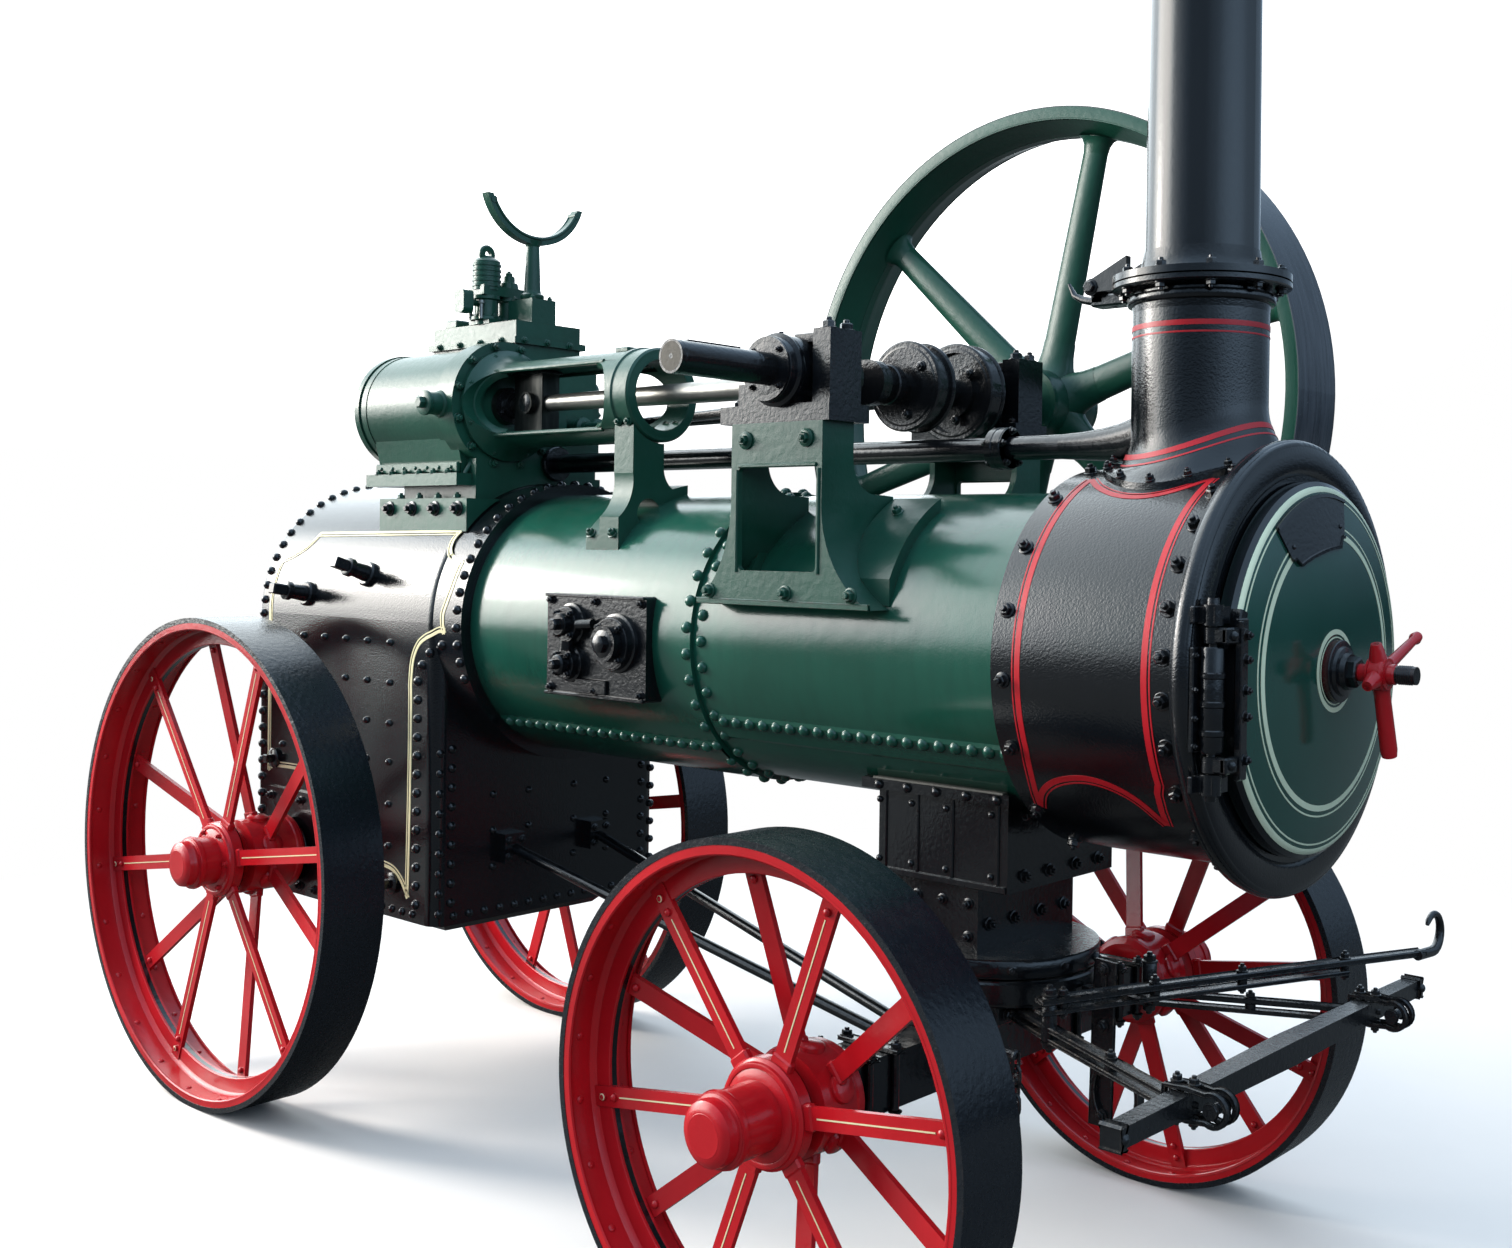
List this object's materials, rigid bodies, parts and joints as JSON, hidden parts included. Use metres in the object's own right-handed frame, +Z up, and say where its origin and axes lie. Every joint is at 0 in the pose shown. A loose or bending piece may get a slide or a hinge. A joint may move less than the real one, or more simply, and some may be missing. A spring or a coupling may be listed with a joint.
{
  "type": "portable steam engine",
  "caption": "Horse-drawn portable steam engine: boiler on spoked wheels, horizontal cylinder, crankshaft, flywheel and folding chimney.",
  "frame": {"origin": "on the ground, at the centre of the bounding box", "axes": "+X towards the smokebox and draw gear, +Y towards the flywheel, +Z up"},
  "size_m": [3.911, 1.77, 4.4],
  "materials": {
    "black_paint": "gloss black paint",
    "dark_steel": "dark oiled iron",
    "green_paint": "gloss green paint",
    "bright_steel": "bright turned steel",
    "flywheel_rim": "gloss green paint",
    "brass": "polished brass",
    "wheel_iron": "dark oiled iron",
    "red_wheel": "gloss red paint"
  },
  "bodies": {
    "engine": {"ash_pan": "black_paint", "boiler_barrel": "green_paint", "chimney_base": "black_paint", "chimney_crutch": "black_paint", "connecting_rod": "bright_steel", "crank_bearing_far": "black_paint", "crank_bearing_near": "black_paint", "crank_bracket_far": "green_paint", "crank_bracket_near": "green_paint", "cylinder_block": "green_paint", "dome_chest": "green_paint", "door_hinge": "black_paint", "exhaust_pipe": "black_paint", "feed_pad": "black_paint", "firebox": "black_paint", "firehole_hinge": "black_paint", "guide_bracket": "green_paint", "pedestal": "black_paint", "pressure_gauge": "brass", "rear_axle": "black_paint", "safety_valves": "green_paint", "smokebox": "black_paint", "stay_rods": "black_paint", "steam_chest": "green_paint", "trunk_guide": "green_paint", "turntable_top": "black_paint", "water_gauge": "brass"},
    "firehole_door": {"firehole_door": "black_paint"},
    "smokebox_door": {"smokebox_door": "green_paint", "door_spindle": "black_paint", "door_straps": "black_paint"},
    "chimney": {"chimney": "black_paint"},
    "crankshaft": {"crankshaft": "dark_steel", "big_end": "dark_steel", "flywheel_rim": "flywheel_rim", "flywheel_arms": "green_paint"},
    "fore_carriage": {"fore_carriage": "black_paint", "draw_gear": "black_paint"},
    "rear_right_wheel": {"tyre_rear_right": "wheel_iron", "wheel_rear_right": "red_wheel"},
    "rear_left_wheel": {"tyre_rear_left": "wheel_iron", "wheel_rear_left": "red_wheel"},
    "front_right_wheel": {"tyre_front_right": "wheel_iron", "wheel_front_right": "red_wheel"},
    "front_left_wheel": {"tyre_front_left": "wheel_iron", "wheel_front_left": "red_wheel"}
  },
  "joints": [
    {"name": "rear_right_wheel_spin", "type": "hinge", "parent": "engine", "child": "rear_right_wheel", "pos_m": [-1.2695, -0.62, 0.686], "axis": [0, 1, 0], "continuous": true},
    {"name": "rear_left_wheel_spin", "type": "hinge", "parent": "engine", "child": "rear_left_wheel", "pos_m": [-1.2695, 0.62, 0.686], "axis": [0, 1, 0], "continuous": true},
    {"name": "steering", "type": "hinge", "parent": "engine", "child": "fore_carriage", "pos_m": [1.0005, 0, 0.6], "axis": [0, 0, 1], "range_deg": [-35, 35]},
    {"name": "front_right_wheel_spin", "type": "hinge", "parent": "fore_carriage", "child": "front_right_wheel", "pos_m": [1.0005, -0.71, 0.527], "axis": [0, 1, 0], "continuous": true},
    {"name": "front_left_wheel_spin", "type": "hinge", "parent": "fore_carriage", "child": "front_left_wheel", "pos_m": [1.0005, 0.71, 0.527], "axis": [0, 1, 0], "continuous": true},
    {"name": "crankshaft_spin", "type": "hinge", "parent": "engine", "child": "crankshaft", "pos_m": [0.6965, 0, 1.977], "axis": [0, 1, 0], "continuous": true},
    {"name": "chimney_fold", "type": "hinge", "parent": "engine", "child": "chimney", "pos_m": [1.2565, 0, 2.152], "axis": [0, -1, 0], "range_deg": [0, 84]},
    {"name": "smokebox_door_hinge", "type": "hinge", "parent": "engine", "child": "smokebox_door", "pos_m": [1.7515, -0.4, 1.376], "axis": [0, 0, -1], "range_deg": [0, 110]},
    {"name": "firehole_door_hinge", "type": "hinge", "parent": "engine", "child": "firehole_door", "pos_m": [-1.5315, 0.232, 1.05], "axis": [0, 0, -1], "range_deg": [0, 110]}
  ]
}
